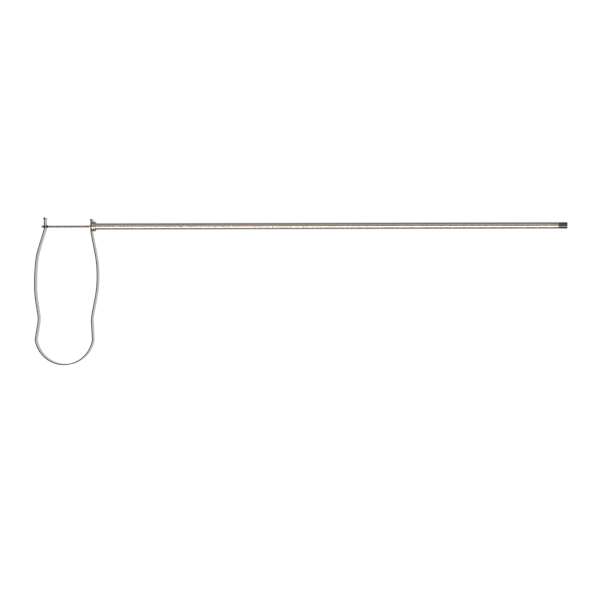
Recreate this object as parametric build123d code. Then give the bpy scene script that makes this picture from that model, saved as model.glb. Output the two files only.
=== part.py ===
from build123d import *

import math
import os

# Long-handled band loop. A thin rod slides in a long tube. Its front end holds the far end of a flat
# spring band, whose near end is clamped to the mouth of the tube, so pulling the rod closes the loop.
#
# Millimetres. +X runs along the handle towards the pull knob, the loop hangs to -Y, and +Z is up
# when the tool lies flat on a table. The origin is on the tube's axis, where the bare grip begins.

os.makedirs("parts", exist_ok=True)

# Handle tube
TUBE_LENGTH = 563.0
TUBE_OD = 8.0
TUBE_WALL = 1.0
TUBE_SEAT_STEP = 0.3

# Rings at the mouth of the tube
COLLAR_OD = 12.2
COLLAR_THICKNESS = 2.3
LOCK_RING_LENGTH = 2.3
LOCK_RING_CHAMFER = 0.7
RING_EDGE = 0.25
SPIGOT_LENGTH = 14.0

# Brass guide bush
BUSH_WALL = 0.5
BUSH_HEAD_LIP = 0.4
BUSH_HEAD_THICKNESS = 2.0
BUSH_HEAD_CHAMFER = 0.3

# Spring band
BAND_WIDTH = 12.7
BAND_THICKNESS = 1.2
END_SPAN = 58.5
LOOP_DEPTH = 171.3
ROUND_RADIUS = 36.4
ROUND_OFFSET = 4.7
ROUND_START = 14.3
KINK_RUN = 3.0
FAR_NECK_LEAN = 9.2
FAR_NECK_RUN = 26.6
NEAR_NECK_LEAN = 3.3
NEAR_NECK_RUN = 27.2
FAR_BULGE = 5.0
NEAR_BULGE = 7.3
FAR_SHOULDER_DROP = 1.8
FAR_BULGE_LEVELS = (0.32, 0.52, 0.73)
NEAR_BULGE_LEVELS = (0.67, 0.41)
SIDE_REACH = 0.45
BEND_REACH = 1.0
KINK_REACH = 1.5
WAIST_REACH = 6.0
FAR_TAB_HEIGHT = 11.3
NEAR_TAB_HEIGHT = 9.2
EYE_RADIUS = 0.75
EYE_LEAD_RADIUS = 1.0
EYE_SWEEP = 265.0

# Sliding rod and the stack of fasteners at its front end
ROD_DIAMETER = 2.5
STUD_DIAMETER = 1.6
NUT_FLATS = 3.2
JAM_NUT_THICKNESS = 2.4
WASHER_OD = 3.8
WASHER_THICKNESS = 0.3
DOME_NUT_LENGTH = 4.4
DOME_NUT_HEX_LENGTH = 2.0
DOME_WALL = 1.1
DOME_ROUNDING = 0.45
NUT_EDGE = 0.2

# Rear ferrule, its seal, the rod guides and the knob
FLUSH_STEP = 0.05
FERRULE_HEAD_LENGTH = 7.7
FERRULE_SPIGOT_LENGTH = 10.0
SEAL_SECTION = 1.0
SEAL_POCKET_DEPTH = 1.2
GUIDE_COUNT = 2
GUIDE_LENGTH = 8.0
KNOB_LENGTH = 10.4
KNOB_EDGE = 1.6
KNOB_SOCKET_DEPTH = 8.0
SCREW_DIAMETER = 2.0
SCREW_PLACE = 3.0
SCREW_KEY_FLATS = 0.9
SCREW_KEY_DEPTH = 1.0

# Fits, measured on the radius
PRESSED_GAP = 0.01
THREAD_GAP = 0.02
RUNNING_GAP = 0.05
LOOSE_GAP = 0.2
HOLE_GAP = 0.1
REST_GAP = 0.3

# Places along the axis
GRIP_START_X = 0.0
TUBE_FRONT_X = GRIP_START_X - LOCK_RING_LENGTH
TUBE_REAR_X = TUBE_FRONT_X + TUBE_LENGTH
COLLAR_FRONT_X = TUBE_FRONT_X - COLLAR_THICKNESS
NEAR_BAND_X = COLLAR_FRONT_X - BAND_THICKNESS / 2
FAR_BAND_X = NEAR_BAND_X - END_SPAN
BUSH_FRONT_X = COLLAR_FRONT_X - BAND_THICKNESS - BUSH_HEAD_THICKNESS
INNER_WASHER_X = FAR_BAND_X + BAND_THICKNESS / 2
JAM_NUT_X = INNER_WASHER_X + WASHER_THICKNESS
ROD_SHOULDER_X = JAM_NUT_X + JAM_NUT_THICKNESS
OUTER_WASHER_X = FAR_BAND_X - BAND_THICKNESS / 2 - WASHER_THICKNESS
DOME_NUT_TIP_X = OUTER_WASHER_X - DOME_NUT_LENGTH
STUD_TIP_X = DOME_NUT_TIP_X + DOME_WALL
KNOB_FRONT_X = TUBE_REAR_X + FERRULE_HEAD_LENGTH + REST_GAP
ROD_REAR_X = KNOB_FRONT_X + KNOB_SOCKET_DEPTH

# Rod travel, until the jam nut meets the head of the guide bush
ROD_TRAVEL = BUSH_FRONT_X - ROD_SHOULDER_X

# Diameters that follow from the ones above. The ferrule and the knob lie just under the tube's surface.
TUBE_ID = TUBE_OD - 2 * TUBE_WALL
TUBE_SEAT_OD = TUBE_OD - 2 * TUBE_SEAT_STEP
BUSH_BORE = ROD_DIAMETER + 2 * RUNNING_GAP
BUSH_OD = BUSH_BORE + 2 * BUSH_WALL
BUSH_HEAD_OD = BUSH_OD + 2 * BUSH_HEAD_LIP
SEAL_OD = ROD_DIAMETER + 2 * RUNNING_GAP + 2 * SEAL_SECTION
FERRULE_OD = TUBE_OD - 2 * FLUSH_STEP
KNOB_OD = TUBE_OD - 2 * FLUSH_STEP


def rod_along_x(diameter, start_x, end_x):
    """A round bar on the tool's axis, from start_x to end_x."""
    disc = Plane(origin=(start_x, 0, 0), z_dir=(1, 0, 0)) * Circle(diameter / 2)
    return extrude(disc, end_x - start_x)


def hex_along_x(flats, start_x, end_x):
    """A hexagonal bar on the tool's axis, with two of its flats facing +Y and -Y."""
    face_plane = Plane(origin=(start_x, 0, 0), x_dir=(0, 0, 1), z_dir=(1, 0, 0))
    hexagon = RegularPolygon(flats / 2, 6, major_radius=False)
    return extrude(face_plane * hexagon, end_x - start_x)


def ring_along_x(outer, bore, start_x, end_x):
    """A round ring on the tool's axis."""
    return rod_along_x(outer, start_x, end_x) - rod_along_x(bore, start_x, end_x)


def rim(shape, x, diameter):
    """The round edge of this diameter that lies at x."""
    return [
        edge
        for edge in shape.edges().filter_by(GeomType.CIRCLE)
        if abs(edge.arc_center.X - x) < 1e-4 and abs(edge.radius - diameter / 2) < 1e-4
    ]


def main_tube():
    """The long handle tube, turned down at its front end to make a seat for the lock ring."""
    grip = ring_along_x(TUBE_OD, TUBE_ID, GRIP_START_X, TUBE_REAR_X)
    return grip + ring_along_x(TUBE_SEAT_OD, TUBE_ID, TUBE_FRONT_X, GRIP_START_X)


def clamp_collar():
    """The disc that the band is clamped against, with a spigot pressed into the tube."""
    disc = rod_along_x(COLLAR_OD, COLLAR_FRONT_X, TUBE_FRONT_X)
    disc = fillet(rim(disc, COLLAR_FRONT_X, COLLAR_OD), RING_EDGE)
    spigot_od = TUBE_ID - 2 * PRESSED_GAP
    spigot = rod_along_x(spigot_od, TUBE_FRONT_X, TUBE_FRONT_X + SPIGOT_LENGTH)
    bore = BUSH_OD + 2 * THREAD_GAP
    return disc + spigot - rod_along_x(bore, COLLAR_FRONT_X, TUBE_FRONT_X + SPIGOT_LENGTH)


def lock_ring():
    """The ring on the tube's seat, behind the collar, with its rear edge bevelled."""
    ring = ring_along_x(COLLAR_OD, TUBE_SEAT_OD + 2 * PRESSED_GAP, TUBE_FRONT_X, GRIP_START_X)
    ring = chamfer(rim(ring, GRIP_START_X, COLLAR_OD), LOCK_RING_CHAMFER)
    return fillet(rim(ring, TUBE_FRONT_X, COLLAR_OD), RING_EDGE)


def guide_bush():
    """The brass bush that the rod runs in. Its head holds the band's near end on the collar."""
    head = rod_along_x(BUSH_HEAD_OD, BUSH_FRONT_X, COLLAR_FRONT_X - BAND_THICKNESS)
    head = chamfer(rim(head, BUSH_FRONT_X, BUSH_HEAD_OD), BUSH_HEAD_CHAMFER)
    shank_end_x = TUBE_FRONT_X + SPIGOT_LENGTH
    shank = rod_along_x(BUSH_OD, COLLAR_FRONT_X - BAND_THICKNESS, shank_end_x)
    return head + shank - rod_along_x(BUSH_BORE, BUSH_FRONT_X, shank_end_x)


def eased_side(points, tight):
    """One side of the loop: straights joined by arcs as large as the straights leave room for.
    tight gives the corners that are sharper, each with how far its arc reaches along its straights."""
    radii = []
    for before, here, after in zip(points, points[1:], points[2:]):
        arriving = Vector(here[0] - before[0], here[1] - before[1])
        leaving = Vector(after[0] - here[0], after[1] - here[1])
        half_turn = math.radians(arriving.get_angle(leaving)) / 2
        reach = tight.get(here, SIDE_REACH * min(arriving.length, leaving.length))
        radii.append(reach / math.tan(half_turn))
    return FilletPolyline(*points, radius=radii)


def neck(round_centre, lean, run, side):
    """The top end of the lower round, the kink just above it, and the waist at the top of the neck.
    side is -1 for the far side of the loop and +1 for the near side."""
    start = math.radians(ROUND_START)
    lean = math.radians(lean)
    round_end = (
        round_centre[0] + side * ROUND_RADIUS * math.cos(start),
        round_centre[1] - ROUND_RADIUS * math.sin(start),
    )
    kink = (
        round_end[0] + side * KINK_RUN * math.sin(start),
        round_end[1] + KINK_RUN * math.cos(start),
    )
    waist = (kink[0] - side * run * math.sin(lean), kink[1] + run * math.cos(lean))
    return round_end, kink, waist


def end_eye(base, turn):
    """The small rolled eye at the end of the band, centred over it. turn is +1 or -1."""
    lead_angle = math.degrees(math.acos(EYE_LEAD_RADIUS / (EYE_LEAD_RADIUS + EYE_RADIUS)))
    lead = JernArc(base, (0, 1), EYE_LEAD_RADIUS, -turn * lead_angle)
    roll = JernArc(lead @ 1, lead % 1, EYE_RADIUS, turn * EYE_SWEEP)
    return [lead, roll]


def eye_rise():
    """The height of a rolled eye above the straight that it starts from."""
    to_eye_centre = math.sqrt((EYE_LEAD_RADIUS + EYE_RADIUS) ** 2 - EYE_LEAD_RADIUS**2)
    return to_eye_centre + EYE_RADIUS + BAND_THICKNESS / 2


def band_centreline():
    """The middle of the band's thickness, from the far end round the loop to the near end."""
    round_centre = ((FAR_BAND_X + NEAR_BAND_X) / 2 - ROUND_OFFSET, ROUND_RADIUS - LOOP_DEPTH)
    far_round_end, far_kink, far_waist = neck(round_centre, FAR_NECK_LEAN, FAR_NECK_RUN, -1)
    near_round_end, near_kink, near_waist = neck(round_centre, NEAR_NECK_LEAN, NEAR_NECK_RUN, 1)
    far_bulge_x = far_waist[0] - FAR_BULGE
    near_bulge_x = near_waist[0] + NEAR_BULGE
    far_bend = (FAR_BAND_X, -WASHER_OD / 2 - BEND_REACH - REST_GAP)
    near_bend = (NEAR_BAND_X, -COLLAR_OD / 2 - BEND_REACH)
    far_eye_base = (FAR_BAND_X, FAR_TAB_HEIGHT - eye_rise())
    near_eye_base = (NEAR_BAND_X, NEAR_TAB_HEIGHT - eye_rise())

    # The bulge's points lie at shares of the height from the rod down to the waist.
    far_levels = [share * far_waist[1] for share in FAR_BULGE_LEVELS]
    near_levels = [share * near_waist[1] for share in NEAR_BULGE_LEVELS]
    far_points = [
        far_eye_base,
        far_bend,
        (far_bulge_x + FAR_SHOULDER_DROP, far_levels[0]),
        (far_bulge_x, far_levels[1]),
        (far_bulge_x, far_levels[2]),
        far_waist,
        far_kink,
        far_round_end,
    ]
    near_points = [
        near_round_end,
        near_kink,
        near_waist,
        (near_bulge_x, near_levels[0]),
        (near_bulge_x, near_levels[1]),
        near_bend,
        near_eye_base,
    ]
    far_tight = {far_bend: BEND_REACH, far_waist: WAIST_REACH, far_kink: KINK_REACH}
    near_tight = {near_bend: BEND_REACH, near_waist: WAIST_REACH, near_kink: KINK_REACH}
    far_side = eased_side(far_points, far_tight)
    near_side = eased_side(near_points, near_tight)
    lower_round = ThreePointArc(far_round_end, (round_centre[0], -LOOP_DEPTH), near_round_end)
    far_eye = end_eye(far_eye_base, -1)
    near_eye = end_eye(near_eye_base, 1)
    return Wire([*far_eye, *far_side.edges(), lower_round, *near_side.edges(), *near_eye])


def band_loop():
    """The spring band, with a hole for the rod's stud at one end and for the bush at the other."""
    strip = trace(band_centreline(), BAND_THICKNESS)
    band = extrude(strip, BAND_WIDTH / 2, both=True)
    stud_hole = STUD_DIAMETER + 2 * HOLE_GAP
    bush_hole = BUSH_OD + 2 * HOLE_GAP
    band -= rod_along_x(stud_hole, FAR_BAND_X - BAND_THICKNESS, FAR_BAND_X + BAND_THICKNESS)
    return band - rod_along_x(bush_hole, NEAR_BAND_X - BAND_THICKNESS, NEAR_BAND_X + BAND_THICKNESS)


def pull_rod():
    """The sliding rod, turned down at its front end to the stud that carries the nuts."""
    shaft = rod_along_x(ROD_DIAMETER, ROD_SHOULDER_X, ROD_REAR_X)
    return shaft + rod_along_x(STUD_DIAMETER, STUD_TIP_X, ROD_SHOULDER_X)


def washer(start_x):
    """One thin washer, on the stud."""
    bore = STUD_DIAMETER + 2 * HOLE_GAP
    return ring_along_x(WASHER_OD, bore, start_x, start_x + WASHER_THICKNESS)


def nut_blank(start_x, end_x):
    """A hexagonal nut with its corners turned off at both ends."""
    hexagon = hex_along_x(NUT_FLATS, start_x, end_x)
    across_corners = NUT_FLATS / math.cos(math.pi / 6)
    turned = rod_along_x(across_corners, start_x, end_x)
    edges = rim(turned, start_x, across_corners) + rim(turned, end_x, across_corners)
    return hexagon & chamfer(edges, NUT_EDGE)


def rod_jam_nut():
    """The thin nut inside the loop."""
    bore = STUD_DIAMETER + 2 * THREAD_GAP
    return nut_blank(JAM_NUT_X, ROD_SHOULDER_X) - rod_along_x(bore, JAM_NUT_X, ROD_SHOULDER_X)


def dome_nut():
    """The domed nut outside the loop, which covers the tip of the stud."""
    hex_front_x = OUTER_WASHER_X - DOME_NUT_HEX_LENGTH
    dome_od = NUT_FLATS - NUT_EDGE
    dome = rod_along_x(dome_od, DOME_NUT_TIP_X, hex_front_x)
    dome = fillet(rim(dome, DOME_NUT_TIP_X, dome_od), DOME_ROUNDING * dome_od)
    socket = rod_along_x(STUD_DIAMETER + 2 * THREAD_GAP, STUD_TIP_X - THREAD_GAP, OUTER_WASHER_X)
    return nut_blank(hex_front_x, OUTER_WASHER_X) + dome - socket


def rear_ferrule():
    """The ferrule in the rear mouth of the tube, with a pocket for the seal at its inner end."""
    head = rod_along_x(FERRULE_OD, TUBE_REAR_X, TUBE_REAR_X + FERRULE_HEAD_LENGTH)
    head = fillet(rim(head, TUBE_REAR_X + FERRULE_HEAD_LENGTH, FERRULE_OD), RING_EDGE)
    inner_x = TUBE_REAR_X - FERRULE_SPIGOT_LENGTH
    spigot = rod_along_x(TUBE_ID - 2 * PRESSED_GAP, inner_x, TUBE_REAR_X)
    bore = ROD_DIAMETER + 2 * RUNNING_GAP
    passage = rod_along_x(bore, inner_x, TUBE_REAR_X + FERRULE_HEAD_LENGTH)
    pocket = rod_along_x(SEAL_OD + 2 * THREAD_GAP, inner_x, inner_x + SEAL_POCKET_DEPTH)
    return head + spigot - passage - pocket


def rod_seal():
    """The rubber ring that steadies the rod in the rear ferrule."""
    place_x = TUBE_REAR_X - FERRULE_SPIGOT_LENGTH + SEAL_POCKET_DEPTH - SEAL_SECTION / 2
    ring = Torus((SEAL_OD - SEAL_SECTION) / 2, SEAL_SECTION / 2)
    return Plane(origin=(place_x, 0, 0), z_dir=(1, 0, 0)) * ring


def rod_guides():
    """Plastic sleeves inside the tube, evenly spaced, that keep the long rod from bowing."""
    sleeves = []
    for number in range(1, GUIDE_COUNT + 1):
        middle_x = TUBE_FRONT_X + TUBE_LENGTH * number / (GUIDE_COUNT + 1)
        start_x = middle_x - GUIDE_LENGTH / 2
        bore = ROD_DIAMETER + 2 * LOOSE_GAP
        sleeve = ring_along_x(TUBE_ID - 2 * PRESSED_GAP, bore, start_x, start_x + GUIDE_LENGTH)
        sleeves.append(sleeve)
    return Compound(children=sleeves)


def screw_plane(depth):
    """A plane square to the set screw, this far below the tool's axis."""
    return Plane(origin=(KNOB_FRONT_X + SCREW_PLACE, 0, -depth), z_dir=(0, 0, -1))


def screw_tip_depth():
    """How far below the tool's axis the set screw's tip lies, just off the rod."""
    return ROD_DIAMETER / 2 + THREAD_GAP


def screw_length():
    """The set screw ends inside the knob's surface, by the edge rounding of the rings."""
    return KNOB_OD / 2 - RING_EDGE - screw_tip_depth()


def pull_knob():
    """The black knob, with a socket for the rod and a tapped hole for the set screw."""
    rear_x = KNOB_FRONT_X + KNOB_LENGTH
    knob = rod_along_x(KNOB_OD, KNOB_FRONT_X, rear_x)
    knob = fillet(rim(knob, rear_x, KNOB_OD), KNOB_EDGE)
    knob = fillet(rim(knob, KNOB_FRONT_X, KNOB_OD), RING_EDGE)
    socket = rod_along_x(ROD_DIAMETER + 2 * THREAD_GAP, KNOB_FRONT_X, ROD_REAR_X + THREAD_GAP)
    screw_hole = extrude(screw_plane(0) * Circle(SCREW_DIAMETER / 2 + THREAD_GAP), KNOB_OD)
    return knob - socket - screw_hole


def knob_set_screw():
    """The grub screw that holds the knob on the rod, with a hexagonal key socket."""
    tip_depth = screw_tip_depth()
    body = extrude(screw_plane(tip_depth) * Circle(SCREW_DIAMETER / 2), screw_length())
    key_floor = screw_plane(tip_depth + screw_length() - SCREW_KEY_DEPTH)
    key = RegularPolygon(SCREW_KEY_FLATS / 2, 6, major_radius=False)
    return body - extrude(key_floor * key, SCREW_KEY_DEPTH)


NODES = {
    "main_tube": main_tube(),
    "clamp_collar": clamp_collar(),
    "lock_ring": lock_ring(),
    "guide_bush": guide_bush(),
    "band_loop": band_loop(),
    "pull_rod": pull_rod(),
    "inner_washer": washer(INNER_WASHER_X),
    "rod_jam_nut": rod_jam_nut(),
    "outer_washer": washer(OUTER_WASHER_X),
    "dome_nut": dome_nut(),
    "rear_ferrule": rear_ferrule(),
    "rod_seal": rod_seal(),
    "rod_guides": rod_guides(),
    "pull_knob": pull_knob(),
    "knob_set_screw": knob_set_screw(),
}

for node, shape in NODES.items():
    export_step(shape, f"parts/{node}.step")

print(f"rod travel {ROD_TRAVEL:.2f} mm, overall length {KNOB_FRONT_X + KNOB_LENGTH - DOME_NUT_TIP_X:.1f} mm")
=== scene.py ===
# %% [markdown]
# # A long-handled loop with a sliding rod
#
# The tool is a slim steel tube, well over half a metre long. A thin rod slides in it. In front, a
# flat spring band hangs from the tube to one side: one end is clamped to the tube's mouth, and the
# other is held by nuts on the rod, so pulling the black knob at the back draws the loop shut.
#
# The working model already says where every piece lies. This lesson loads it and then makes each
# piece again at the quality that a close look needs: fine round turnings, eased edges that catch
# the light, a rolled eye at each end of the band, and metal finishes that are built from noise.

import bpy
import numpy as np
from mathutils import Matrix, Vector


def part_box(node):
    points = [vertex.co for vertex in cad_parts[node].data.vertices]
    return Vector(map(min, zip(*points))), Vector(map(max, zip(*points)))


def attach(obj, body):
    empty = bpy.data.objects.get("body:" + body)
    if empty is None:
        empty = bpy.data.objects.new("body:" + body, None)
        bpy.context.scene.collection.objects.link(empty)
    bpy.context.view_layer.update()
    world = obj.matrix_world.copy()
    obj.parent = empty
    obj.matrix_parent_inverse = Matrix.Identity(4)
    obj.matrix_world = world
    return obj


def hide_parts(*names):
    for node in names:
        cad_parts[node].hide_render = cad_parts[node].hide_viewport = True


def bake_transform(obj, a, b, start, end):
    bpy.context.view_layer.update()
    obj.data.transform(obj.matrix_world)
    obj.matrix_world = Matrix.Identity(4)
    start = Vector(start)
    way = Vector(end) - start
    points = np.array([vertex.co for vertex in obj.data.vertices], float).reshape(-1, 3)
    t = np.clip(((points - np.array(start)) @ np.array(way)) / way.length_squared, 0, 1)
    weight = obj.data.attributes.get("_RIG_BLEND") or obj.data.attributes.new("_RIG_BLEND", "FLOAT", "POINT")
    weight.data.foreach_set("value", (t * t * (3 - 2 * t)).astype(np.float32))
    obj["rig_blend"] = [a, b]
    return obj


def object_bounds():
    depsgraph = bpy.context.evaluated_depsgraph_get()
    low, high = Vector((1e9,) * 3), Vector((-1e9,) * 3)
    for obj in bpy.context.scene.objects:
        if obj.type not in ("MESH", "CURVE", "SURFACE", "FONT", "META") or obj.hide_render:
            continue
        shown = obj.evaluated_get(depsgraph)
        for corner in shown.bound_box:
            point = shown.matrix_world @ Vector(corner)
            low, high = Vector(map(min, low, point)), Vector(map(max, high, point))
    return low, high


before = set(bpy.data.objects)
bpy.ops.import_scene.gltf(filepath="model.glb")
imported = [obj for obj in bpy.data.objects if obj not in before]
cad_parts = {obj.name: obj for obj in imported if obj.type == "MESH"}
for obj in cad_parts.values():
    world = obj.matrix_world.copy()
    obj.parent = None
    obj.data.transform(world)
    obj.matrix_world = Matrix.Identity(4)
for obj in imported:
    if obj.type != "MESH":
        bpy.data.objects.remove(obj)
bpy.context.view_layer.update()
print("pieces in the working model:", len(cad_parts))

# %% [markdown]
# ## Where the viewer stands
#
# The camera comes first, because every later choice of size and light is judged through it. The tool
# lies flat, so the camera looks almost straight down from two metres. A long lens from far off keeps
# the tube's two ends the same width, and a small tilt towards the knob shows the inner face of the
# band on one side of the loop and the outer face on the other.

# %% Place the camera
import math

import bpy
from mathutils import Matrix, Vector

AIM = Vector((0.25385, -0.09085, 0.0))
CAMERA_DISTANCE = 2.09
TILT_TO_KNOB = math.radians(4.5)
CAMERA_ROLL = math.radians(0.06)
LENS = 102.09
SENSOR = 36.0


def camera_axes(tilt, roll):
    """The camera's own right, up and backward directions, as the columns of a matrix."""
    backward = Vector((math.sin(tilt), 0.0, math.cos(tilt)))
    level = Vector((math.cos(tilt), 0.0, -math.sin(tilt)))
    north = Vector((0.0, 1.0, 0.0))
    right = level * math.cos(roll) + north * math.sin(roll)
    up = north * math.cos(roll) - level * math.sin(roll)
    return Matrix((right, up, backward)).transposed()


lens_data = bpy.data.cameras.new("camera")
lens_data.lens = LENS
lens_data.sensor_width = SENSOR
camera = bpy.data.objects.new("camera", lens_data)
bpy.context.scene.collection.objects.link(camera)
turn = camera_axes(TILT_TO_KNOB, CAMERA_ROLL)
camera.matrix_world = Matrix.Translation(AIM + turn.col[2] * CAMERA_DISTANCE) @ turn.to_4x4()
bpy.context.scene.camera = camera
print("camera at", [round(value, 3) for value in camera.location])

# %% [markdown]
# ## A bench for making pieces
#
# Nearly everything on this tool came off a lathe, so one helper does most of the work: it takes half
# of a piece's outline and spins it about the tool's axis. Drawing is done in millimetres, like a
# workshop drawing, and the finished mesh is scaled to metres at the very end. A sharp edge never
# looks real, so every rim is bevelled, and the faces of each bevel are marked. The finishes read
# that mark and give the edges their own tone: paler where handling polishes them, and on the ring
# steel and the band a near-black painted shade that draws their dark outlines.

# %% Lathe work
import bmesh

MM = 0.001
ROUND_STEPS = 128
SHARP_ANGLE = math.radians(35)
CLOSE = 1e-5
AXIS = (1.0, 0.0, 0.0)


def span(node):
    """The lowest and highest x of a piece of the working model, in millimetres."""
    low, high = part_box(node)
    return low.x / MM, high.x / MM


def spun(outline, bored):
    """The solid that an outline of (x, radius) points makes. A bored outline is a closed ring."""
    bm = bmesh.new()
    wear_and_shade = bm.faces.layers.float.new("wear_and_shade")
    points = [bm.verts.new((x, radius, 0.0)) for x, radius in outline]
    followers = points[1:] + points[:1] if bored else points[1:]
    lines = [bm.edges.new(pair) for pair in zip(points, followers)]
    bmesh.ops.spin(bm, geom=points + lines, cent=(0, 0, 0), axis=AXIS, dvec=(0, 0, 0),
                   angle=2 * math.pi, steps=ROUND_STEPS, use_merge=True)
    bmesh.ops.remove_doubles(bm, verts=bm.verts, dist=CLOSE)
    bmesh.ops.recalc_face_normals(bm, faces=bm.faces)
    for face in bm.faces:
        face[wear_and_shade] = 0.0
    return bm


def rims(bm, x=None, radius=None):
    """The sharp round edges of a turning, all of them or those at one x and radius."""
    found = []
    for edge in bm.edges:
        middle = (edge.verts[0].co + edge.verts[1].co) / 2
        wide = edge.verts[0].co.yz.length
        if not edge.is_manifold or edge.calc_face_angle() < SHARP_ANGLE:
            continue
        if x is not None and abs(middle.x - x) > CLOSE:
            continue
        if radius is not None and abs(wide - radius) > CLOSE:
            continue
        found.append(edge)
    return found


def ease(bm, edges, offset, segments=3):
    """Rounds edges off, and marks the new faces for the edge tone: wear on most finishes, painted shade on
    ring_steel and band_steel.
    """
    wear_and_shade = bm.faces.layers.float["wear_and_shade"]
    made = bmesh.ops.bevel(bm, geom=edges, offset=offset, offset_type="OFFSET", affect="EDGES",
                           segments=segments, profile=0.5, material=-1, clamp_overlap=True)
    for face in made["faces"]:
        face[wear_and_shade] = 1.0


print("lathe ready:", ROUND_STEPS, "steps to a turn")

# %% [markdown]
# ## From the bench to the scene
#
# A finished piece is scaled to metres, shaded smooth between its sharp edges, given its finish and
# told which body of the working model it rides on. The Weighted Normal modifier keeps large faces
# flat and lets only the narrow bevels turn the light, which is what makes a bevel read as an edge.

# %% Finish and place a piece


def to_object(bm, name):
    """Puts a bench mesh into the scene as an object at the origin, still in millimetres."""
    mesh = bpy.data.meshes.new(name)
    bm.to_mesh(mesh)
    bm.free()
    piece = bpy.data.objects.new(name, mesh)
    bpy.context.scene.collection.objects.link(piece)
    return piece


def finish_piece(piece, finish, slot_name, *nodes):
    """Scales a piece to metres, gives it smooth shading and its finish, and hides the working-model pieces
    it replaces. slot_name is not used.
    """
    piece.data.transform(Matrix.Scale(MM, 4))
    piece.data.shade_smooth()
    piece.data.set_sharp_from_angle(angle=SHARP_ANGLE)
    flatter = piece.modifiers.new("flatter", "WEIGHTED_NORMAL")
    flatter.keep_sharp = True
    piece.data.materials.clear()
    piece.data.materials.append(finish)
    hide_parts(*nodes)
    print(f"{piece.name}: {len(piece.data.polygons)} faces")
    return piece


def combine(piece, tool, operation):
    """Joins, cuts or intersects a piece with a tool by a Boolean, and removes the tool."""
    change = piece.modifiers.new("change", "BOOLEAN")
    change.object = tool
    change.operation = operation
    change.solver = "EXACT"
    graph = bpy.context.evaluated_depsgraph_get()
    result = bpy.data.meshes.new_from_object(piece.evaluated_get(graph))
    piece.modifiers.clear()
    piece.data = result
    bpy.data.objects.remove(tool)
    return piece


def bar(diameter, start_x, end_x):
    """A plain round bar on the axis, used as a cutting tool or a blank."""
    radius = diameter / 2
    outline = [(start_x, 0), (start_x, radius), (end_x, radius), (end_x, 0)]
    return to_object(spun(outline, bored=False), "bar")


print("edges turn sharp above", round(math.degrees(SHARP_ANGLE)), "degrees")

# %% [markdown]
# ## Building blocks for metal
#
# Bare metal is one reflective shader, and its character comes from how the surface was made. Drawn
# tube carries long faint lines, turned rings carry fine grooves round their axis, and rolled strip
# carries lines along its length. Each is noise that is stretched along the direction of the tool
# that made it. The noise changes the tint a little, the roughness more, and tips the surface with a
# very shallow bump. Object coordinates keep the lines fixed to the piece when it moves.

# %% Noise, ramps and bumps


def new_finish(name):
    """A material with its shader and the object coordinates that all its patterns read."""
    finish = bpy.data.materials.new(name)
    finish.use_nodes = True
    tree = finish.node_tree
    place = tree.nodes.new("ShaderNodeTexCoord").outputs["Object"]
    return finish, tree, tree.nodes["Principled BSDF"], place


def grain(tree, place, stretch, detail=3.0, roughness=0.6):
    """Noise whose scale differs along x, y and z. Each number is how many features fit in a metre."""
    mapping = tree.nodes.new("ShaderNodeMapping")
    mapping.inputs["Scale"].default_value = stretch
    tree.links.new(place, mapping.inputs["Vector"])
    noise = tree.nodes.new("ShaderNodeTexNoise")
    noise.inputs["Scale"].default_value = 1.0
    noise.inputs["Detail"].default_value = detail
    noise.inputs["Roughness"].default_value = roughness
    tree.links.new(mapping.outputs["Vector"], noise.inputs["Vector"])
    return noise.outputs["Fac"]


def spread(tree, value, low, high, from_low=0.3, from_high=0.7):
    """Stretches the middle of a noise to run from low to high."""
    node = tree.nodes.new("ShaderNodeMapRange")
    node.inputs["From Min"].default_value = from_low
    node.inputs["From Max"].default_value = from_high
    node.inputs["To Min"].default_value = low
    node.inputs["To Max"].default_value = high
    tree.links.new(value, node.inputs["Value"])
    return node.outputs["Result"]


def calculate(tree, operation, first, second):
    """One sum on two values, each a socket or a number."""
    node = tree.nodes.new("ShaderNodeMath")
    node.operation = operation
    for socket, value in zip(node.inputs, (first, second)):
        if isinstance(value, (int, float)):
            socket.default_value = value
        else:
            tree.links.new(value, socket)
    return node.outputs["Value"]


def tint(tree, share, first, second):
    """A colour between two others. The first is a socket or a colour."""
    node = tree.nodes.new("ShaderNodeMix")
    node.data_type = "RGBA"
    if isinstance(first, tuple):
        node.inputs["A"].default_value = (*first, 1.0)
    else:
        tree.links.new(first, node.inputs["A"])
    node.inputs["B"].default_value = (*second, 1.0)
    tree.links.new(share, node.inputs["Factor"])
    return node.outputs["Result"]


def emboss(tree, shader, height, depth):
    """Tips the surface by a height, whose full range is depth metres deep."""
    bump = tree.nodes.new("ShaderNodeBump")
    bump.inputs["Strength"].default_value = 1.0
    bump.inputs["Distance"].default_value = depth
    tree.links.new(height, bump.inputs["Height"])
    tree.links.new(bump.outputs["Normal"], shader.inputs["Normal"])


# Patches that break up the edge mark, which is wear on most finishes and painted shade on ring_steel and
# band_steel.
WEAR_AND_SHADE_PATCHES = (900, 900, 900)
PATCHY = 0.25


def wear_and_shade_share(tree, place, least=PATCHY):
    """How strongly the edge tone applies, which is wear on most finishes and painted shade on ring_steel and
    band_steel: the bevel faces, broken up by a patchy noise that falls to least.
    """
    mark = tree.nodes.new("ShaderNodeAttribute")
    mark.attribute_name = "wear_and_shade"
    patches = grain(tree, place, WEAR_AND_SHADE_PATCHES)
    return calculate(tree, "MULTIPLY", mark.outputs["Fac"], spread(tree, patches, least, 1.0))


print("finishing tools ready")

# %% [markdown]
# ## The metal finishes
#
# One function makes every bare metal here. It takes the coordinates its lines follow and how they are
# stretched. For turned pieces the coordinates are first folded to (x, distance from the axis), so the
# same noise makes grooves round a cylinder and rings on its end face, as a lathe tool would. A second,
# large noise leaves the faint patches that fingers and cleaning leave.

# %% Bare metal


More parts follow.
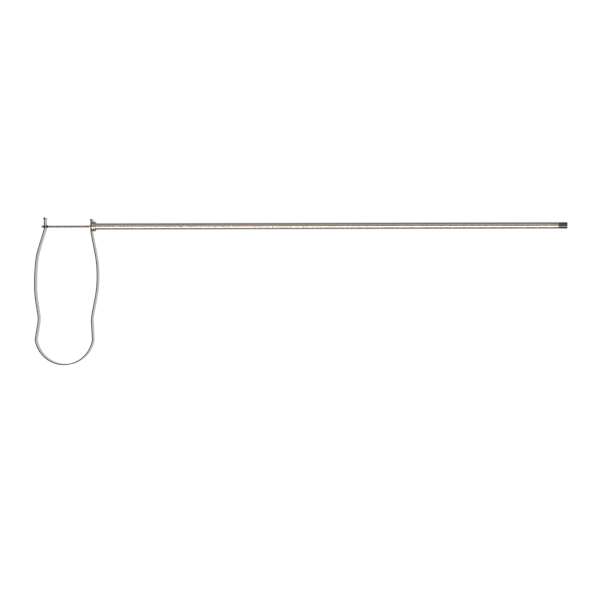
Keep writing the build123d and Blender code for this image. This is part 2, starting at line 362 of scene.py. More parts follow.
def around_axis(tree, place):
    """Folds a place to (x, distance from the tool's axis, 0)."""
    apart = tree.nodes.new("ShaderNodeSeparateXYZ")
    tree.links.new(place, apart.inputs["Vector"])
    flat = tree.nodes.new("ShaderNodeCombineXYZ")
    tree.links.new(apart.outputs["Y"], flat.inputs["Y"])
    tree.links.new(apart.outputs["Z"], flat.inputs["Z"])
    wide = tree.nodes.new("ShaderNodeVectorMath")
    wide.operation = "LENGTH"
    tree.links.new(flat.outputs["Vector"], wide.inputs[0])
    folded = tree.nodes.new("ShaderNodeCombineXYZ")
    tree.links.new(apart.outputs["X"], folded.inputs["X"])
    tree.links.new(wide.outputs["Value"], folded.inputs["Y"])
    return folded.outputs["Vector"]


HANDLING_PATCHES = (60, 160, 160)
DULLED_BY_HANDLING = 0.06
POLISHED_BY_WEAR = 0.05


def bare_metal(name, dark, light, edge, stretch, roughness, depth, turned=False, least=PATCHY):
    """Reflective metal with lines from its making, patches from handling and edges of another tone."""
    finish, tree, shader, place = new_finish(name)
    lines = grain(tree, around_axis(tree, place) if turned else place, stretch)
    patches = grain(tree, place, HANDLING_PATCHES, detail=4.0)
    wear_and_shade = wear_and_shade_share(tree, place, least)
    blotchy = calculate(tree, "MULTIPLY", spread(tree, patches, 0.75, 1.1), lines)
    body_colour = tint(tree, spread(tree, blotchy, 0.0, 1.0, 0.2, 0.75), dark, light)
    # The edge colour is wear on the lighter finishes. The near-black edge colour of ring_steel and
    # band_steel is painted shade.
    tree.links.new(tint(tree, wear_and_shade, body_colour, edge), shader.inputs["Base Color"])
    smooth, rough = roughness
    rubbed = spread(tree, patches, 0.0, DULLED_BY_HANDLING)
    lined = calculate(tree, "ADD", spread(tree, lines, smooth, rough), rubbed)
    polish = calculate(tree, "MULTIPLY", wear_and_shade, POLISHED_BY_WEAR)
    tree.links.new(calculate(tree, "SUBTRACT", lined, polish), shader.inputs["Roughness"])
    shader.inputs["Metallic"].default_value = 1.0
    emboss(tree, shader, lines, depth)
    return finish


TURNED = (9000, 9000, 1)
DRAWN = (9, 2600, 2600)
ROLLED = (14, 14, 2400)
tube_steel = bare_metal("tube_steel", (0.34, 0.296, 0.262), (0.44, 0.386, 0.345), (0.50, 0.455, 0.42),
                        DRAWN, (0.20, 0.27), 7e-7)
# ring_steel's near-black edge colour, barely broken up (least 0.8), is painted shade: it draws dark outlines
# on the rims of the collar, lock ring and ferrule, and a dark groove between the rings.
ring_steel = bare_metal("ring_steel", (0.31, 0.266, 0.232), (0.42, 0.365, 0.322), (0.055, 0.047, 0.042),
                        TURNED, (0.16, 0.27), 1.5e-6, turned=True, least=0.8)
rod_steel = bare_metal("rod_steel", (0.12, 0.100, 0.086), (0.17, 0.144, 0.125), (0.26, 0.225, 0.20),
                       DRAWN, (0.36, 0.44), 8e-7)
# band_steel's near-black edge colour, barely broken up (least 0.9), is painted shade: it paints the strip's
# slit edges as the band's dark outline.
band_steel = bare_metal("band_steel", (0.66, 0.655, 0.66), (0.80, 0.795, 0.80), (0.012, 0.011, 0.012),
                        ROLLED, (0.12, 0.28), 2e-6, least=0.9)
bush_brass = bare_metal("bush_brass", (0.62, 0.49, 0.37), (0.76, 0.63, 0.50), (0.80, 0.69, 0.56),
                        TURNED, (0.30, 0.42), 3e-6, turned=True)
bright_nut = bare_metal("bright_nut", (0.22, 0.215, 0.21), (0.34, 0.335, 0.33), (0.45, 0.44, 0.43),
                        TURNED, (0.07, 0.16), 1e-6, turned=True)
washer_steel = bare_metal("washer_steel", (0.42, 0.42, 0.42), (0.56, 0.56, 0.57), (0.68, 0.68, 0.68),
                          (1500, 1500, 1500), (0.22, 0.36), 2e-6)
black_nut = bare_metal("black_nut", (0.010, 0.009, 0.009), (0.026, 0.024, 0.023), (0.09, 0.085, 0.08),
                       TURNED, (0.26, 0.42), 2e-6, turned=True)
print("bare metals:", [m.name for m in (tube_steel, ring_steel, rod_steel, band_steel, bush_brass)])

# %% [markdown]
# ## The black, plastic and rubber finishes
#
# The knob is glossy black, so what shows on it is mostly its reflections, tinted a little warm. Real
# gloss is never perfect: a faint orange-peel ripple bends the reflections, and short fine scratches and
# handling marks make parts of it duller. The guides are milky plastic and the seal is dull rubber.
# Both hide in the tube, and they still get the finish they would show when the tool is taken apart.

# %% Gloss black, plastic and rubber


MOULD_PATCHES = (130, 260, 260)
SCUFF_MARKS = (5200, 420, 420)
EDGE_LIFT = 2.2
WARM_GLOSS = (1.0, 0.90, 0.82, 1.0)


def moulded(name, dark, light, roughness, ripple, depth, index):
    """A moulded or painted surface: a tint, uneven gloss and a fine ripple."""
    finish, tree, shader, place = new_finish(name)
    patches = grain(tree, place, MOULD_PATCHES, detail=5.0)
    scuffs = grain(tree, place, SCUFF_MARKS, detail=2.0)
    half_worn = calculate(tree, "MULTIPLY", wear_and_shade_share(tree, place), 0.5)
    colour = tint(tree, spread(tree, patches, 0.0, 1.0), dark, light)
    paler = tuple(EDGE_LIFT * part for part in light)
    tree.links.new(tint(tree, half_worn, colour, paler), shader.inputs["Base Color"])
    smooth, rough = roughness
    scuffed = spread(tree, scuffs, 0.0, 0.08, 0.55, 0.75)
    dulled = calculate(tree, "ADD", spread(tree, patches, smooth, rough), scuffed)
    tree.links.new(dulled, shader.inputs["Roughness"])
    shader.inputs["IOR"].default_value = index
    shader.inputs["Specular Tint"].default_value = WARM_GLOSS
    emboss(tree, shader, grain(tree, place, (ripple, ripple, ripple)), depth)
    return finish


knob_black = moulded("knob_black", (0.004, 0.0035, 0.003), (0.010, 0.009, 0.008), (0.04, 0.10),
                     900, 2e-6, 1.75)
guide_plastic = moulded("guide_plastic", (0.72, 0.71, 0.66), (0.82, 0.81, 0.77), (0.38, 0.55),
                        700, 6e-6, 1.5)
seal_rubber = moulded("seal_rubber", (0.016, 0.016, 0.016), (0.035, 0.034, 0.033), (0.55, 0.75),
                      2600, 1e-5, 1.5)
for node, finish in {"rod_guides": guide_plastic, "rod_seal": seal_rubber}.items():
    for index in range(len(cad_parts[node].data.materials)):
        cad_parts[node].data.materials[index] = finish
print("black, plastic and rubber finishes are ready")

# %% [markdown]
# ## The handle tube
#
# The handle is a thin-walled tube, cut to length and turned down by a hair at the front to seat a
# ring. The wall is modelled too, because the mouth shows when the ferrule is seen from behind, and a
# spun ring-shaped outline gives inner and outer wall at once.

# %% Turn the tube
TUBE_RADIUS = 4.0
TUBE_WALL = 1.0
SEAT_STEP = 0.3
FINE_EDGE = 0.12

tube_front, tube_rear = span("main_tube")
ring_front, grip_start = span("lock_ring")
seat = TUBE_RADIUS - SEAT_STEP
bore = TUBE_RADIUS - TUBE_WALL
tube = spun([(tube_front, seat), (grip_start, seat), (grip_start, TUBE_RADIUS),
             (tube_rear, TUBE_RADIUS), (tube_rear, bore), (tube_front, bore)], bored=True)
ease(tube, rims(tube, x=tube_rear), FINE_EDGE)
ease(tube, rims(tube, x=tube_front), FINE_EDGE)
handle_tube = finish_piece(to_object(tube, "handle_tube"), tube_steel, "tube_steel", "main_tube")
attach(handle_tube, "handle")

# %% [markdown]
# ## The rings at the tube's mouth
#
# Two rings stand proud of the tube and make its front end look like a small bolt head: a collar whose
# spigot is pressed into the tube, and a lock ring behind it with a bevelled rear edge. Their
# rounded corners meet in a groove, and that dark line, deepened by painted shade on the rounded
# corners, is what shows that they are two pieces.

# %% Turn the collar and the lock ring
RING_RADIUS = 6.1
RING_EDGE = 0.25
REAR_CHAMFER = 0.7
PRESSED_GAP = 0.01
THREAD_GAP = 0.02
BUSH_RADIUS = 1.8

collar_front, spigot_end = span("clamp_collar")
spigot_radius = bore - PRESSED_GAP
bush_hole = BUSH_RADIUS + THREAD_GAP
collar = spun([(collar_front, RING_RADIUS), (ring_front, RING_RADIUS), (ring_front, spigot_radius),
               (spigot_end, spigot_radius), (spigot_end, bush_hole), (collar_front, bush_hole)],
              bored=True)
ease(collar, rims(collar, radius=RING_RADIUS), RING_EDGE, segments=4)
clamp_ring = finish_piece(to_object(collar, "collar"), ring_steel, "ring_steel", "clamp_collar")
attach(clamp_ring, "handle")

seat_hole = seat + PRESSED_GAP
ring = spun([(ring_front, RING_RADIUS), (grip_start - REAR_CHAMFER, RING_RADIUS),
             (grip_start, RING_RADIUS - REAR_CHAMFER), (grip_start, seat_hole),
             (ring_front, seat_hole)], bored=True)
ease(ring, rims(ring, x=ring_front, radius=RING_RADIUS), RING_EDGE, segments=4)
ease(ring, rims(ring, x=grip_start), FINE_EDGE)
locking_ring = finish_piece(to_object(ring, "locking_ring"), ring_steel, "ring_steel", "lock_ring")
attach(locking_ring, "handle")

# %% [markdown]
# ## The guide bush
#
# The rod runs in a small brass bush. Its head sits on the loop's side of the band and traps the band
# against the collar, and its shank runs back through both. The head is a plain turned flange with
# a chamfered front edge.

# %% Turn the bush
HEAD_THICKNESS = 2.0
HEAD_LIP = 0.4
HEAD_CHAMFER = 0.3
HEAD_EDGE = 0.06
ROD_RADIUS = 1.25
RUNNING_GAP = 0.05

bush_front, bush_end = span("guide_bush")
head_back = bush_front + HEAD_THICKNESS
head_radius = BUSH_RADIUS + HEAD_LIP
rod_hole = ROD_RADIUS + RUNNING_GAP
bush = spun([(bush_front, head_radius - HEAD_CHAMFER), (bush_front + HEAD_CHAMFER, head_radius),
             (head_back, head_radius), (head_back, BUSH_RADIUS), (bush_end, BUSH_RADIUS),
             (bush_end, rod_hole), (bush_front, rod_hole)], bored=True)
ease(bush, rims(bush, x=bush_front), HEAD_EDGE)
ease(bush, rims(bush, x=head_back, radius=head_radius), HEAD_EDGE)
brass_bush = finish_piece(to_object(bush, "brass_bush"), bush_brass, "bush_brass", "guide_bush")
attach(brass_bush, "handle")

# %% [markdown]
# ## The sliding rod
#
# The rod is ground bar, longer than the tube, with a thinner stud turned on its front end for the
# nuts. It slides through the bush, the guides, the seal and the ferrule, and ends in the knob.

# %% Turn the rod
STUD_RADIUS = 0.8
STUD_CHAMFER = 0.25

stud_tip, rod_rear = span("pull_rod")
jam_nut_front, shoulder = span("rod_jam_nut")
rod = spun([(stud_tip, 0), (stud_tip, STUD_RADIUS - STUD_CHAMFER),
            (stud_tip + STUD_CHAMFER, STUD_RADIUS), (shoulder, STUD_RADIUS), (shoulder, ROD_RADIUS),
            (rod_rear, ROD_RADIUS), (rod_rear, 0)], bored=False)
ease(rod, rims(rod, x=shoulder, radius=ROD_RADIUS), FINE_EDGE)
ease(rod, rims(rod, x=rod_rear), FINE_EDGE)
sliding_rod = finish_piece(to_object(rod, "sliding_rod"), rod_steel, "rod_steel", "pull_rod")
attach(sliding_rod, "slider")

# %% [markdown]
# ## Washers and nuts at the far end of the loop
#
# The band's far end is squeezed between two thin washers by a black jam nut on the loop's side and a
# polished dome nut outside. A real nut is hexagonal bar whose corners were turned off at each end.
# The same two steps make it here: a six-sided bar is intersected with a turned blank, and the round
# blank cuts the curved facets that a hexagon alone would lack.

# %% Washers
HOLE_GAP = 0.1
WASHER_RADIUS = 1.9
WASHER_EDGE = 0.06

for name, node in {"loop_side_washer": "inner_washer", "outer_side_washer": "outer_washer"}.items():
    front, back = span(node)
    washer_hole = STUD_RADIUS + HOLE_GAP
    disc = spun([(front, WASHER_RADIUS), (back, WASHER_RADIUS), (back, washer_hole),
                 (front, washer_hole)], bored=True)
    ease(disc, rims(disc, radius=WASHER_RADIUS), WASHER_EDGE, segments=2)
    washer = finish_piece(to_object(disc, name), washer_steel, "washer_steel", node)
    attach(washer, "slider")

# %% [markdown]
# The hexagon comes from a six-sided cone operator with equal ends. It is turned so that two flats
# face sideways and two corners face up and down, the way the nuts sit on this tool.

# %% Nut blanks
NUT_FLATS = 3.2
NUT_EDGE = 0.2
TOOL_OVERRUN = 1.0
CORNER_RADIUS = NUT_FLATS / 2 / math.cos(math.pi / 6)


def hex_bar(flats, start_x, end_x):
    """A six-sided bar on the axis with its corners at the top and bottom."""
    bm = bmesh.new()
    bm.faces.layers.float.new("wear_and_shade")
    corner = flats / 2 / math.cos(math.pi / 6)
    bmesh.ops.create_cone(bm, cap_ends=True, cap_tris=False, segments=6, radius1=corner,
                          radius2=corner, depth=end_x - start_x)
    across = Matrix.Rotation(math.pi / 2, 4, "Y")
    middle = Matrix.Translation(((start_x + end_x) / 2, 0, 0))
    bmesh.ops.transform(bm, matrix=middle @ across, verts=bm.verts)
    if max(vert.co.y for vert in bm.verts) > corner - CLOSE:
        sixth = Matrix.Rotation(math.pi / 6, 4, "X")
        bmesh.ops.transform(bm, matrix=sixth, verts=bm.verts)
    return to_object(bm, "hex_bar")


def nut_blank(start_x, end_x):
    """Hexagonal bar with its corners turned off at both ends."""
    low = CORNER_RADIUS - NUT_EDGE
    outline = [(start_x, 0), (start_x, low), (start_x + NUT_EDGE, CORNER_RADIUS),
               (end_x - NUT_EDGE, CORNER_RADIUS), (end_x, low), (end_x, 0)]
    round_blank = to_object(spun(outline, bored=False), "round_blank")
    return combine(hex_bar(NUT_FLATS, start_x, end_x), round_blank, "INTERSECT")


stud_thread = 2 * (STUD_RADIUS + THREAD_GAP)
jam = nut_blank(jam_nut_front, shoulder)
nut_drill = bar(stud_thread, jam_nut_front - TOOL_OVERRUN, shoulder + TOOL_OVERRUN)
jam = combine(jam, nut_drill, "DIFFERENCE")
jam.name = "black_jam_nut"
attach(finish_piece(jam, black_nut, "black_nut", "rod_jam_nut"), "slider")

# %% [markdown]
# The dome nut is the same blank with a rounded cap. The cap is a short bar whose front rim is
# bevelled so far, in many small steps, that hardly any flat is left.

# %% Dome nut
HEX_LENGTH = 2.0
DOME_WALL = 1.1
DOME_ROUNDING = 0.45
DOME_STEPS = 12
CAP_OVERLAP = 0.5

dome_tip, dome_back = span("dome_nut")
hex_front = dome_back - HEX_LENGTH
dome_diameter = NUT_FLATS - NUT_EDGE
cap_radius = dome_diameter / 2
cap_back = hex_front + CAP_OVERLAP
cap = spun([(dome_tip, 0), (dome_tip, cap_radius), (cap_back, cap_radius), (cap_back, 0)],
           bored=False)
ease(cap, rims(cap, x=dome_tip), DOME_ROUNDING * dome_diameter, segments=DOME_STEPS)
for face in cap.faces:
    face[cap.faces.layers.float["wear_and_shade"]] = 0.0
dome = combine(nut_blank(hex_front, dome_back), to_object(cap, "cap"), "UNION")
socket_end = dome_tip + DOME_WALL - THREAD_GAP
dome = combine(dome, bar(stud_thread, socket_end, dome_back + TOOL_OVERRUN), "DIFFERENCE")
dome.name = "polished_dome_nut"
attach(finish_piece(dome, bright_nut, "bright_nut", "dome_nut"), "slider")

# %% [markdown]
# ## The ferrule at the back of the tube
#
# A ferrule closes the rear of the tube and guides the rod. It is flush with the tube to within a
# hair, so all that shows is a fine line, darkened by painted shade on its rim, and a slight change
# of tone. Its inner end has a pocket for the seal.

# %% Turn the ferrule
FLUSH_STEP = 0.05
SEAL_SECTION = 1.0
POCKET_DEPTH = 1.2

ferrule_inner, ferrule_rear = span("rear_ferrule")
flush_radius = TUBE_RADIUS - FLUSH_STEP
pocket_radius = rod_hole + SEAL_SECTION + THREAD_GAP
ferrule = spun([(tube_rear, flush_radius), (ferrule_rear, flush_radius), (ferrule_rear, rod_hole),
                (ferrule_inner + POCKET_DEPTH, rod_hole),
                (ferrule_inner + POCKET_DEPTH, pocket_radius), (ferrule_inner, pocket_radius),
                (ferrule_inner, spigot_radius), (tube_rear, spigot_radius)], bored=True)
ease(ferrule, rims(ferrule, x=tube_rear, radius=flush_radius), FINE_EDGE)
ease(ferrule, rims(ferrule, x=ferrule_rear), RING_EDGE)
end_ferrule = finish_piece(to_object(ferrule, "end_ferrule"), ring_steel, "ring_steel", "rear_ferrule")
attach(end_ferrule, "handle")

# %% [markdown]
# ## The knob and its set screw
#
# The knob is a short black cylinder of the tube's own width with a well rounded back. It is gripped
# between finger and thumb. A small grub screw underneath holds it on the rod, so the knob gets a
# cross hole and the screw a six-sided key socket.

# %% Turn the knob and drill it
KNOB_EDGE = 1.6
KNOB_EDGE_STEPS = 10
SOCKET_DEPTH = 8.0
SCREW_RADIUS = 1.0
SCREW_PLACE = 3.0
KEY_FLATS = 0.9
KEY_DEPTH = 1.0

knob_front, knob_rear = span("pull_knob")
rod_socket = ROD_RADIUS + THREAD_GAP
socket_floor = knob_front + SOCKET_DEPTH + THREAD_GAP
knob = spun([(knob_rear, 0), (knob_rear, flush_radius), (knob_front, flush_radius),
             (knob_front, rod_socket), (socket_floor, rod_socket), (socket_floor, 0)], bored=False)
ease(knob, rims(knob, x=knob_rear), KNOB_EDGE, segments=KNOB_EDGE_STEPS)
ease(knob, rims(knob, x=knob_front), RING_EDGE)


def pointing_down(tool, x, depth):
    """Turns a tool that lies on the axis to point down at x, with its start this far below."""
    tool.data.transform(Matrix.Translation((x, 0, -depth)) @ Matrix.Rotation(math.pi / 2, 4, "Y"))
    return tool


screw_x = knob_front + SCREW_PLACE
screw_low, screw_high = (-corner.z / MM for corner in reversed(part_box("knob_set_screw")))
drill = pointing_down(bar(2 * (SCREW_RADIUS + THREAD_GAP), 0, 2 * TUBE_RADIUS), screw_x, 0)
black_knob = combine(to_object(knob, "black_knob"), drill, "DIFFERENCE")
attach(finish_piece(black_knob, knob_black, "knob_black", "pull_knob"), "slider")

grub = pointing_down(bar(2 * SCREW_RADIUS, 0, screw_high - screw_low), screw_x, screw_low)
key = pointing_down(hex_bar(KEY_FLATS, 0, 2 * KEY_DEPTH), screw_x, screw_high - KEY_DEPTH)
grub_screw = combine(grub, key, "DIFFERENCE")
grub_screw.name = "grub_screw"
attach(finish_piece(grub_screw, black_nut, "black_nut", "knob_set_screw"), "slider")

# %% [markdown]
# ## The spring band: its line
#
# The band is one strip of spring steel, bent into a waisted loop. Each side is a chain of straight
# runs and arcs: up from the round bottom, a kink, a neck that leans inwards to the waist, a long
# bulge, then a sharp bend into the upright tab that is clamped. The arcs are found the way a
# bender would set them out, from the corners and how far each bend may reach along its two
# straights.

# %% Set out one side of the band
BAND_THICKNESS = 1.2
END_SPAN = 58.5
LOOP_DEPTH = 171.3
ROUND_RADIUS = 36.4
ROUND_OFFSET = 4.7
ROUND_START = math.radians(14.3)
KINK_RUN = 3.0
SIDE_REACH = 0.45
BEND_REACH = 1.0
KINK_REACH = 1.5
WAIST_REACH = 6.0
REST_GAP = 0.3

near_x = collar_front - BAND_THICKNESS / 2
far_x = near_x - END_SPAN
round_x = (far_x + near_x) / 2 - ROUND_OFFSET
round_y = ROUND_RADIUS - LOOP_DEPTH


def neck(lean, run, side):
    """The end of the lower round, the kink and the waist. side is -1 for far and +1 for near."""
    lean = math.radians(lean)
    along = Vector((side * math.sin(ROUND_START), math.cos(ROUND_START)))
    outward = Vector((side * math.cos(ROUND_START), -math.sin(ROUND_START)))
    round_end = Vector((round_x, round_y)) + outward * ROUND_RADIUS
    kink = round_end + along * KINK_RUN
    waist = kink + Vector((-side * run * math.sin(lean), run * math.cos(lean)))
    return round_end, kink, waist


def moves_along(corners, tight):
    """The (straight, radius, turn) moves that follow corners, easing each by its reach. tight gives
    the reach at some corners by their place in the list, and the others are as easy as they can be."""
    moves = []
    spare = 0.0
    for index in range(1, len(corners) - 1):
        arriving = corners[index] - corners[index - 1]
        leaving = corners[index + 1] - corners[index]
        turn_left = -arriving.angle_signed(leaving)
        reach = tight.get(index, SIDE_REACH * min(arriving.length, leaving.length))
        radius = reach / math.tan(abs(turn_left) / 2)
        moves.append((arriving.length - spare - reach, radius, turn_left))
        spare = reach
    moves.append(((corners[-1] - corners[-2]).length - spare, 0.0, 0.0))
    return moves


print("the loop's round bottom is centred at", round(round_x, 2), round(round_y, 2))

# %% [markdown]
# ## The spring band: carrying the strip along its line
#
# The strip's own section is a small rectangle with eased corners. It is carried along the line from
# the bottom of the loop: straight runs are extruded and moved, arcs are spun about the arc's centre.
# The steps stay short even on the straights, because the band has to bend when the rod is pulled,
# and a mesh can bend only where it has vertices.

# %% Carry the strip
BAND_WIDTH = 12.7
STRIP_EDGE = 0.14
LONGEST_STEP = 1.6
LARGEST_TURN = math.radians(7.5)
UPRIGHT = (0.0, 0.0, 1.0)


def strip_section(bm, at, heading):
    """The face that is the strip's cross-section, square to its heading."""
    made = bmesh.ops.create_grid(bm, x_segments=1, y_segments=1, size=0.5)
    bmesh.ops.scale(bm, vec=(BAND_THICKNESS, BAND_WIDTH, 1.0), verts=made["verts"])
    side = Vector((-heading.y, heading.x, 0.0))
    lay = Matrix((side, Vector(UPRIGHT), Vector((heading.x, heading.y, 0.0)))).transposed()
    spot = Matrix.Translation((at.x, at.y, 0.0))
    bmesh.ops.transform(bm, matrix=spot @ lay.to_4x4(), verts=made["verts"])
    bmesh.ops.bevel(bm, geom=bm.verts[:], offset=STRIP_EDGE, offset_type="OFFSET",
                    affect="VERTICES", segments=3, profile=0.5, material=-1, clamp_overlap=True)
    return list(bm.faces)


def carry(name, at, heading, moves):
    """The strip that starts at a point with a heading and follows the moves."""
    bm = bmesh.new()
    bm.faces.layers.float.new("wear_and_shade")
    section = strip_section(bm, at, heading)
    for straight, radius, turn_left in moves:
        steps = max(1, math.ceil(straight / LONGEST_STEP))
        stride = heading * (straight / steps)
        for _ in range(steps if straight > CLOSE else 0):
            made = bmesh.ops.extrude_face_region(bm, geom=section)["geom"]
            section = [part for part in made if isinstance(part, bmesh.types.BMFace)]
            verts = [part for part in made if isinstance(part, bmesh.types.BMVert)]
            bmesh.ops.translate(bm, vec=(stride.x, stride.y, 0.0), verts=verts)
        at = at + stride * steps
        if not turn_left:
            continue
        to_centre = Vector((-heading.y, heading.x)) * math.copysign(radius, turn_left)
        centre = at + to_centre
        steps = math.ceil(max(abs(turn_left) / LARGEST_TURN, radius * abs(turn_left) / LONGEST_STEP))
        made = bmesh.ops.spin(bm, geom=section, cent=(centre.x, centre.y, 0.0), axis=UPRIGHT,
                              dvec=(0, 0, 0), angle=turn_left, steps=steps)["geom_last"]
        section = [part for part in made if isinstance(part, bmesh.types.BMFace)]
        swing = Matrix.Rotation(turn_left, 2)
        at = centre - swing @ to_centre
        heading = swing @ heading
    bmesh.ops.recalc_face_normals(bm, faces=bm.faces)
    mark_strip_edges(bm)
    print(f"{name} ends at {at.x:.2f}, {at.y:.2f}")
    return to_object(bm, name)


def mark_strip_edges(bm):
    """Marks the strip's slit edges and eased corners, which are the faces far from its middle. band_steel
    paints these faces near black, a painted shade.
    """
    wear_and_shade = bm.faces.layers.float["wear_and_shade"]
    for face in bm.faces:
        out = abs(face.calc_center_median().z)
        face[wear_and_shade] = 1.0 if out > BAND_WIDTH / 2 - STRIP_EDGE else 0.0


print("the strip's section:", BAND_THICKNESS, "by", BAND_WIDTH, "mm")

# %% [markdown]
# ## The spring band: two halves and their rolled eyes
#
# Each tab ends in a small rolled eye, so that the strip's end doesn't scratch. The band is made in
# two halves that meet at the bottom of the loop. When the rod is pulled, the far half follows the
# rod at its tab and the near half follows the tube, and both fade to the same half-way
# movement where they meet, so the join never opens.

# %% Bend the two halves
EYE_RADIUS = 0.75
EYE_LEAD_RADIUS = 1.0
EYE_SWEEP = math.radians(265)
FAR_TAB_HEIGHT = 11.3
NEAR_TAB_HEIGHT = 9.2

eye_reach = math.sqrt((EYE_LEAD_RADIUS + EYE_RADIUS) ** 2 - EYE_LEAD_RADIUS ** 2)
eye_rise = eye_reach + EYE_RADIUS + BAND_THICKNESS / 2
eye_lead = math.acos(EYE_LEAD_RADIUS / (EYE_LEAD_RADIUS + EYE_RADIUS))


def half_band(name, side, lean_and_run, bulge_points, tab_x, bend_y, tab_height):
    """One half of the band, from the bottom of the loop up to its rolled eye. Each bulge point is how
    far outside the waist it lies and its share of the waist's depth."""
    round_end, kink, waist = neck(*lean_and_run, side)
    bulge = [Vector((waist.x + out, level * waist.y)) for out, level in bulge_points]
    bend = Vector((tab_x, bend_y))
    eye_base = Vector((tab_x, tab_height - eye_rise))
    corners = [round_end, kink, waist, *bulge, bend, eye_base]
    tight = {1: KINK_REACH, 2: WAIST_REACH, len(corners) - 2: BEND_REACH}
    quarter = (0.0, ROUND_RADIUS, side * (math.pi / 2 - ROUND_START))
    eye = [(0.0, EYE_LEAD_RADIUS, -side * eye_lead), (0.0, EYE_RADIUS, side * EYE_SWEEP)]
    moves = [quarter, *moves_along(corners, tight), *eye]
    return carry(name, Vector((round_x, -LOOP_DEPTH)), Vector((side, 0.0)), moves)


FAR_NECK = (9.2, 26.6)
NEAR_NECK = (3.3, 27.2)
FAR_BULGE = 5.0
FAR_SHOULDER_DROP = 1.8
NEAR_BULGE = 7.3
far_bend_y = -WASHER_RADIUS - BEND_REACH - REST_GAP
near_bend_y = -RING_RADIUS - BEND_REACH
far_bulge = [(-FAR_BULGE, 0.73), (-FAR_BULGE, 0.52), (FAR_SHOULDER_DROP - FAR_BULGE, 0.32)]
near_bulge = [(NEAR_BULGE, 0.67), (NEAR_BULGE, 0.41)]
far_half = half_band("band_far_half", -1, FAR_NECK, far_bulge, far_x, far_bend_y, FAR_TAB_HEIGHT)
near_half = half_band("band_near_half", 1, NEAR_NECK, near_bulge, near_x, near_bend_y,
                      NEAR_TAB_HEIGHT)

# %% [markdown]
# The tabs are drilled: a small hole for the rod's stud in the far one, and a larger one for the bush
# in the near one. Then each half is blended between the two bodies along the loop's depth.

# %% Drill the tabs and let the band bend
CLAMPED_TO_Y = -6.5

stud_drill = bar(2 * (STUD_RADIUS + HOLE_GAP), far_x - BAND_THICKNESS, far_x + BAND_THICKNESS)
far_half = combine(far_half, stud_drill, "DIFFERENCE")
bush_drill = bar(2 * (BUSH_RADIUS + HOLE_GAP), near_x - BAND_THICKNESS, near_x + BAND_THICKNESS)
near_half = combine(near_half, bush_drill, "DIFFERENCE")
blend_start = (round_x * MM, CLAMPED_TO_Y * MM, 0.0)
blend_end = (round_x * MM, (-2 * LOOP_DEPTH - CLAMPED_TO_Y) * MM, 0.0)
for half, top_body, far_body in ((far_half, "slider", "handle"), (near_half, "handle", "slider")):
    finish_piece(half, band_steel, "band_steel", "band_loop")
    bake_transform(half, top_body, far_body, start=blend_start, end=blend_end)

# %% [markdown]
# ## The table top
#
# The tool lies flat on a plain pale surface. Its own glow keeps it white under the tool, so that the
# thin band is read against a clean ground and not against its shadow. What the metal reflects of it
# is dimmer than what the viewer sees, which a studio does with dark cards: bright metal on a white
# ground would otherwise lose its edges.

# %% Lay the table top
TABLE_SIZE = 9.0
SEEN_GLOW = 0.94
REFLECTED_GLOW = 0.52

table_mesh = bmesh.new()
bmesh.ops.create_grid(table_mesh, x_segments=1, y_segments=1, size=TABLE_SIZE / 2)
bmesh.ops.translate(table_mesh, vec=(AIM.x, AIM.y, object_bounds()[0][2]), verts=table_mesh.verts)
table_top = to_object(table_mesh, "table_top")
pale, pale_tree, pale_shader, _ = new_finish("pale_table")
pale_shader.inputs["Base Color"].default_value = (0.08, 0.08, 0.08, 1.0)
pale_shader.inputs["Roughness"].default_value = 0.9
pale_shader.inputs["Specular IOR Level"].default_value = 0.1
pale_shader.inputs["Emission Color"].default_value = (1.0, 1.0, 1.0, 1.0)
rays = pale_tree.nodes.new("ShaderNodeLightPath")
seen = pale_tree.nodes.new("ShaderNodeMapRange")
seen.inputs["To Min"].default_value = REFLECTED_GLOW
seen.inputs["To Max"].default_value = SEEN_GLOW
pale_tree.links.new(rays.outputs["Is Camera Ray"], seen.inputs["Value"])
pale_tree.links.new(seen.outputs["Result"], pale_shader.inputs["Emission Strength"])
table_top.data.materials.append(pale)
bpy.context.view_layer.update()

# %% [markdown]
# ## Light
#
# Polished tube shows its surroundings as long stripes, so the lights are laid out like those stripes.
# A long softbox on the loop's side puts a soft highlight just below the tube's middle, and a narrow
# brighter tube lamp inside it makes the thin line that even the black knob shows. The room's glow
# is strongest high up behind the tool, which lights the tube's upper flank. It fades towards
# the horizon on both sides, which draws the tube's dark outlines, and it is dim straight overhead,
# where the viewer stands. That dim patch draws the fine line along the middle of the tube.

# %% The room's glow
room = bpy.data.worlds.new("room")
bpy.context.scene.world = room
room.use_nodes = True
room_tree = room.node_tree
direction = room_tree.nodes.new("ShaderNodeTexCoord").outputs["Generated"]
apart = room_tree.nodes.new("ShaderNodeSeparateXYZ")
room_tree.links.new(direction, apart.inputs["Vector"])


def grey_ramp(tree, value, stops):
    """A grey that follows a value, through (position, brightness) stops."""
    node = tree.nodes.new("ShaderNodeValToRGB")
    for number, (position, level) in enumerate(stops):
        marks = node.color_ramp.elements
        mark = marks[number] if number < 2 else marks.new(position)
        mark.position = position
        mark.color = (level, level, level, 1.0)
    tree.links.new(value, node.inputs["Fac"])
    return node.outputs["Color"]


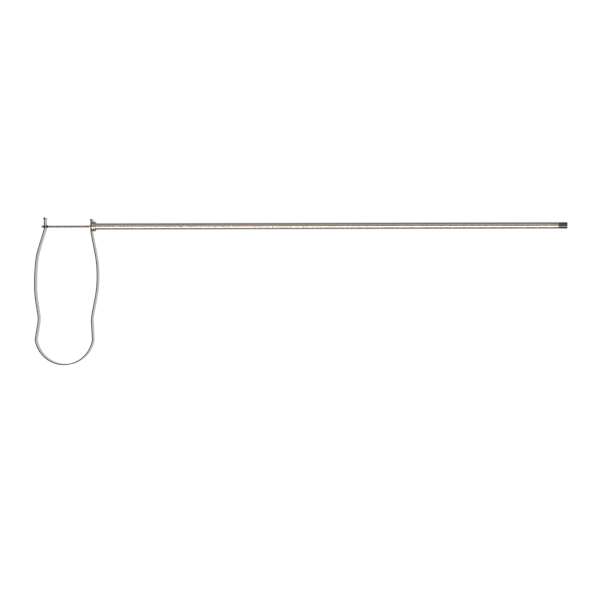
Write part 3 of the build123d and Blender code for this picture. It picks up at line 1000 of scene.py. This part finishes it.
def product(tree, first, second):
    """Two colours multiplied."""
    node = tree.nodes.new("ShaderNodeMix")
    node.data_type = "RGBA"
    node.blend_type = "MULTIPLY"
    node.inputs["Factor"].default_value = 1.0
    tree.links.new(first, node.inputs["A"])
    tree.links.new(second, node.inputs["B"])
    return node.outputs["Result"]


ROOM_STRENGTH = 1.15
HEIGHT_STOPS = [(0.0, 1.0), (0.90, 1.0), (0.965, 0.35), (1.0, 0.15)]
SIDE_STOPS = [(0.0, 0.4), (0.45, 0.85), (0.62, 0.90), (0.79, 1.25), (0.92, 0.40), (1.0, 0.20)]
height_glow = grey_ramp(room_tree, apart.outputs["Z"], HEIGHT_STOPS)
loop_to_back = spread(room_tree, apart.outputs["Y"], 0.0, 1.0, -1.0, 1.0)
side_glow = grey_ramp(room_tree, loop_to_back, SIDE_STOPS)
backdrop = room_tree.nodes["Background"]
room_tree.links.new(product(room_tree, height_glow, side_glow), backdrop.inputs["Color"])
backdrop.inputs["Strength"].default_value = ROOM_STRENGTH
print("room glow: strongest", max(level for _, level in SIDE_STOPS), "times", ROOM_STRENGTH)

# %% [markdown]
# The lamps are set by how bright their faces look, because that is what a reflection shows. A panel's
# power is that brightness times its area times pi.

# %% Place the lamps
LAMP_DISTANCE = 1.6
LAMP_LENGTH = 3.2


def softbox(name, across, overhead_angle, brightness, colour):
    """A lamp panel that lies along the tool and leans over it from the loop's side. The angle is
    measured from straight overhead, towards -Y."""
    data = bpy.data.lights.new(name, "AREA")
    data.shape = "RECTANGLE"
    data.size = LAMP_LENGTH
    data.size_y = across
    data.energy = brightness * math.pi * across * LAMP_LENGTH
    data.color = colour
    lamp = bpy.data.objects.new(name, data)
    bpy.context.scene.collection.objects.link(lamp)
    lean = math.radians(overhead_angle)
    away = Vector((0.0, -math.sin(lean), math.cos(lean)))
    lamp.location = Vector((AIM.x, 0.0, 0.0)) + away * LAMP_DISTANCE
    lamp.rotation_euler = (lean, 0.0, 0.0)


softbox("long_softbox", across=0.55, overhead_angle=35, brightness=1.1, colour=(1.0, 0.985, 0.97))
softbox("tube_lamp", across=0.30, overhead_angle=34, brightness=11.0, colour=(1.0, 0.96, 0.93))
bpy.context.scene.view_settings.view_transform = "Standard"
